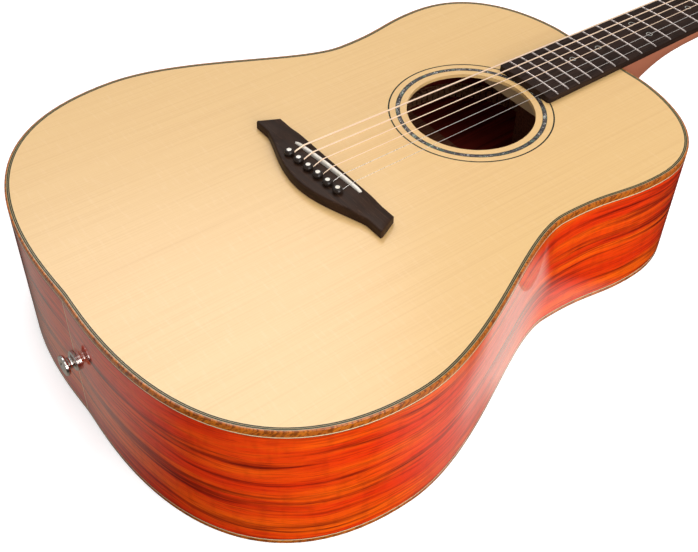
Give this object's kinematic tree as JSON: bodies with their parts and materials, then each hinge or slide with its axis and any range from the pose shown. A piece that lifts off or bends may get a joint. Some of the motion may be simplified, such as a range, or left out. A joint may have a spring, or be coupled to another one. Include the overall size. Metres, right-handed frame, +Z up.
{
  "type": "acoustic guitar",
  "caption": "Steel-string acoustic guitar with a wide flat-top body, round soundhole, pin bridge and geared tuners, lying on its back.",
  "frame": {"origin": "on the outside of the back, on the centre line, under the middle of the body", "axes": "+X to the treble side, +Y along the neck to the head, +Z up out of the back; the soundboard slopes 2.5 degrees down to the neck"},
  "size_m": [0.396, 1.0398, 0.125],
  "materials": {
    "top_spruce": "pale spruce under a clear gloss",
    "back_wood": "figured reddish hardwood, gloss",
    "side_wood": "orange-red streaked hardwood, high gloss",
    "binding_wood": "flamed golden wood, gloss",
    "block_wood": "plain sanded hardwood",
    "lining_wood": "sanded kerfed strip",
    "brace_spruce": "sanded spruce",
    "shell_inlay": "dark iridescent shell",
    "dark_wood": "oiled very dark brown wood",
    "bone": "polished bone",
    "black_pin": "polished black with pale dots",
    "wound_bronze": "fine bronze winding",
    "plain_steel": "bright drawn steel",
    "neck_wood": "reddish brown hardwood, satin gloss",
    "nickel": "polished nickel"
  },
  "bodies": {
    "root": {"back_binding": "binding_wood", "back_brace_1": "brace_spruce", "back_brace_2": "brace_spruce", "back_brace_3": "brace_spruce", "back_brace_4": "brace_spruce", "back_lining": "lining_wood", "back_plate": "back_wood", "bridge": "dark_wood", "bridge_plate": "block_wood", "endpin_jack": "nickel", "fingerboard": "dark_wood", "headstock_veneer": "dark_wood", "neck": "neck_wood", "neck_block": "block_wood", "nut": "bone", "rosette": "shell_inlay", "saddle": "bone", "side_bass": "side_wood", "side_treble": "side_wood", "soundboard": "top_spruce", "string_1": "wound_bronze", "string_2": "wound_bronze", "string_3": "wound_bronze", "string_4": "wound_bronze", "string_5": "plain_steel", "string_6": "plain_steel", "tail_block": "block_wood", "tone_bar_lower": "brace_spruce", "tone_bar_upper": "brace_spruce", "top_binding": "binding_wood", "top_lining": "lining_wood", "truss_rod": "plain_steel", "tuner_housing_1": "nickel", "tuner_housing_2": "nickel", "tuner_housing_3": "nickel", "tuner_housing_4": "nickel", "tuner_housing_5": "nickel", "tuner_housing_6": "nickel", "upper_brace": "brace_spruce", "x_brace_bass": "brace_spruce", "x_brace_treble": "brace_spruce"},
    "knob_1": {"tuner_knob_1": "nickel"},
    "post_1": {"tuner_post_1": "nickel"},
    "knob_2": {"tuner_knob_2": "nickel"},
    "post_2": {"tuner_post_2": "nickel"},
    "knob_3": {"tuner_knob_3": "nickel"},
    "post_3": {"tuner_post_3": "nickel"},
    "knob_4": {"tuner_knob_4": "nickel"},
    "post_4": {"tuner_post_4": "nickel"},
    "knob_5": {"tuner_knob_5": "nickel"},
    "post_5": {"tuner_post_5": "nickel"},
    "knob_6": {"tuner_knob_6": "nickel"},
    "post_6": {"tuner_post_6": "nickel"},
    "pin_1": {"bridge_pin_1": "black_pin"},
    "pin_2": {"bridge_pin_2": "black_pin"},
    "pin_3": {"bridge_pin_3": "black_pin"},
    "pin_4": {"bridge_pin_4": "black_pin"},
    "pin_5": {"bridge_pin_5": "black_pin"},
    "pin_6": {"bridge_pin_6": "black_pin"},
    "truss_nut": {"truss_rod_nut": "plain_steel"}
  },
  "joints": [
    {"name": "knob_1_turn", "type": "hinge", "parent": "root", "child": "knob_1", "pos_m": [-0.024, 0.63826, 0.05186], "axis": [-1, 0, 0], "continuous": true},
    {"name": "post_1_turn", "type": "hinge", "parent": "root", "child": "post_1", "pos_m": [-0.024, 0.65175, 0.07236], "axis": [0, 0.2846, 0.9587], "continuous": true},
    {"name": "knob_2_turn", "type": "hinge", "parent": "root", "child": "knob_2", "pos_m": [-0.0255, 0.6766, 0.04047], "axis": [-1, 0, 0], "continuous": true},
    {"name": "post_2_turn", "type": "hinge", "parent": "root", "child": "post_2", "pos_m": [-0.0255, 0.6901, 0.06098], "axis": [0, 0.2846, 0.9587], "continuous": true},
    {"name": "knob_3_turn", "type": "hinge", "parent": "root", "child": "knob_3", "pos_m": [-0.027, 0.71495, 0.02909], "axis": [-1, 0, 0], "continuous": true},
    {"name": "post_3_turn", "type": "hinge", "parent": "root", "child": "post_3", "pos_m": [-0.027, 0.72844, 0.0496], "axis": [0, 0.2846, 0.9587], "continuous": true},
    {"name": "knob_4_turn", "type": "hinge", "parent": "root", "child": "knob_4", "pos_m": [0.027, 0.71495, 0.02909], "axis": [1, 0, 0], "continuous": true},
    {"name": "post_4_turn", "type": "hinge", "parent": "root", "child": "post_4", "pos_m": [0.027, 0.72844, 0.0496], "axis": [0, 0.2846, 0.9587], "continuous": true},
    {"name": "knob_5_turn", "type": "hinge", "parent": "root", "child": "knob_5", "pos_m": [0.0255, 0.6766, 0.04047], "axis": [1, 0, 0], "continuous": true},
    {"name": "post_5_turn", "type": "hinge", "parent": "root", "child": "post_5", "pos_m": [0.0255, 0.6901, 0.06098], "axis": [0, 0.2846, 0.9587], "continuous": true},
    {"name": "knob_6_turn", "type": "hinge", "parent": "root", "child": "knob_6", "pos_m": [0.024, 0.63826, 0.05186], "axis": [1, 0, 0], "continuous": true},
    {"name": "post_6_turn", "type": "hinge", "parent": "root", "child": "post_6", "pos_m": [0.024, 0.65175, 0.07236], "axis": [0, 0.2846, 0.9587], "continuous": true},
    {"name": "pin_1_pull", "type": "slide", "parent": "root", "child": "pin_1", "axis": [0, 0.0442, 0.999], "range_m": [0, 0.03]},
    {"name": "pin_2_pull", "type": "slide", "parent": "root", "child": "pin_2", "axis": [0, 0.0442, 0.999], "range_m": [0, 0.03]},
    {"name": "pin_3_pull", "type": "slide", "parent": "root", "child": "pin_3", "axis": [0, 0.0442, 0.999], "range_m": [0, 0.03]},
    {"name": "pin_4_pull", "type": "slide", "parent": "root", "child": "pin_4", "axis": [0, 0.0442, 0.999], "range_m": [0, 0.03]},
    {"name": "pin_5_pull", "type": "slide", "parent": "root", "child": "pin_5", "axis": [0, 0.0442, 0.999], "range_m": [0, 0.03]},
    {"name": "pin_6_pull", "type": "slide", "parent": "root", "child": "pin_6", "axis": [0, 0.0442, 0.999], "range_m": [0, 0.03]},
    {"name": "truss_nut_turn", "type": "hinge", "parent": "root", "child": "truss_nut", "pos_m": [0, 0.19287, 0.09468], "axis": [0, 0.999, -0.0442], "range_deg": [-180, 180]}
  ],
  "couplings": [
    {"joint": "post_1_turn", "follows": "knob_1_turn", "ratio": -0.071429},
    {"joint": "post_2_turn", "follows": "knob_2_turn", "ratio": -0.071429},
    {"joint": "post_3_turn", "follows": "knob_3_turn", "ratio": -0.071429},
    {"joint": "post_4_turn", "follows": "knob_4_turn", "ratio": 0.071429},
    {"joint": "post_5_turn", "follows": "knob_5_turn", "ratio": 0.071429},
    {"joint": "post_6_turn", "follows": "knob_6_turn", "ratio": 0.071429}
  ]
}
